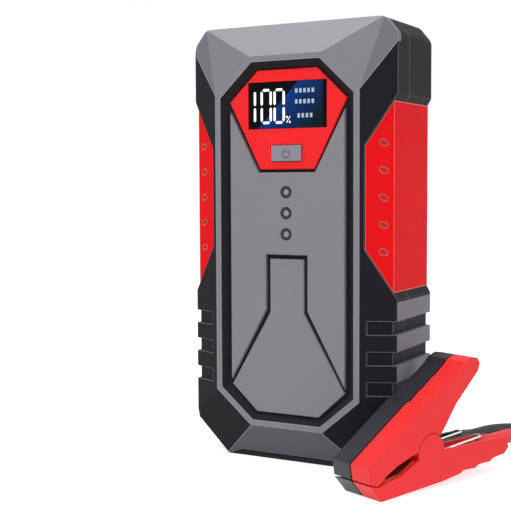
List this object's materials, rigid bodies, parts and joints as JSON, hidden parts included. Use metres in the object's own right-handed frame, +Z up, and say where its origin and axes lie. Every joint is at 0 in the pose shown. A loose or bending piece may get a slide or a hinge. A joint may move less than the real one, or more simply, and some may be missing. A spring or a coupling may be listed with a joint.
{
  "type": "jump starter pack",
  "caption": "Handheld car jump starter with display, side panels, port flap, work light and a plug-in lead set with two spring clamps.",
  "frame": {"origin": "centre of the rubber base, at the surface that the case stands on", "axes": "+Z up the case, +X to the case's right as seen from the front, +Y to its back"},
  "size_m": [0.2371, 0.1329, 0.2],
  "materials": {
    "black_abs": "moulded ABS, fine texture",
    "black_pvc": "silicone cable jacket",
    "black_rubber": "soft rubber",
    "cell_film": "laminated pouch",
    "chip_black": "component packages",
    "clamp_black": "moulded nylon",
    "clamp_red": "moulded nylon",
    "clear_lens": "clear polycarbonate",
    "copper": "copper plated",
    "foam": "closed cell foam",
    "gold": "gold plated",
    "green_board": "solder mask",
    "grey_abs": "moulded ABS, satin",
    "red_abs": "moulded ABS, semi gloss",
    "red_pvc": "silicone cable jacket",
    "screen_glass": "printed acrylic window",
    "silver_metal": "zinc plated"
  },
  "bodies": {
    "pack": {"front_shell": "black_abs", "rear_shell": "black_abs", "front_cover": "grey_abs", "panel_tray": "black_abs", "front_panel": "grey_abs", "front_inlay": "grey_abs", "display_bezel": "red_abs", "display_window": "screen_glass", "lcd_module": "chip_black", "tact_switch": "chip_black", "display_board": "green_board", "indicator_rings": "black_abs", "indicator_lenses": "grey_abs", "indicator_leds": "chip_black", "left_side_panel": "red_abs", "right_side_panel": "red_abs", "panel_studs": "red_abs", "left_side_grip": "grey_abs", "right_side_grip": "grey_abs", "rubber_base": "black_rubber", "case_screws": "silver_metal", "port_frame": "black_abs", "ec5_socket": "black_abs", "ec5_contacts": "gold", "usb_shells": "silver_metal", "usb_tongues": "chip_black", "usb_c_socket": "silver_metal", "light_lens": "clear_lens", "light_reflector": "silver_metal", "light_led": "chip_black", "light_board": "green_board", "main_board": "green_board", "board_components": "chip_black", "battery_cells": "cell_film", "battery_tray": "black_abs", "foam_pads": "foam", "cell_tabs": "silver_metal", "positive_busbar": "copper", "negative_busbar": "copper", "red_cable": "red_pvc", "black_cable": "black_pvc", "plug_boot": "black_rubber", "plug_body": "black_abs", "plug_pins": "gold", "red_lower_lever": "clamp_red", "red_lower_jaw": "copper", "red_pivot_pin": "silver_metal", "red_spring": "silver_metal", "black_lower_lever": "clamp_black", "black_lower_jaw": "copper", "black_pivot_pin": "silver_metal", "black_spring": "silver_metal"},
    "button": {"power_button": "grey_abs"},
    "flap": {"port_flap": "black_rubber"},
    "red_handle": {"red_upper_lever": "clamp_red", "red_upper_jaw": "copper"},
    "black_handle": {"black_upper_lever": "clamp_black", "black_upper_jaw": "copper"}
  },
  "joints": [
    {"name": "power_press", "type": "slide", "parent": "pack", "child": "button", "axis": [0, 1, 0], "range_m": [0, 0.0008], "stiffness_N_per_m": 900, "springref_m": -0.0006},
    {"name": "flap_hinge", "type": "hinge", "parent": "pack", "child": "flap", "pos_m": [0.0087, 0.0129, 0.199], "axis": [-1, 0, 0], "range_deg": [0, 105]},
    {"name": "red_clamp_hinge", "type": "hinge", "parent": "pack", "child": "red_handle", "pos_m": [0.06643, -0.02635, 0.01606], "axis": [-0.9135, 0.4067, 0], "range_deg": [0, 28], "stiffness_Nm_per_rad": 0.6, "springref_deg": -34.38, "deforming": ["red_spring"]},
    {"name": "black_clamp_hinge", "type": "hinge", "parent": "pack", "child": "black_handle", "pos_m": [0.0562, -0.02179, 0.01606], "axis": [-0.9135, 0.4067, 0], "range_deg": [0, 28], "stiffness_Nm_per_rad": 0.6, "springref_deg": -34.38, "deforming": ["black_spring"]}
  ]
}
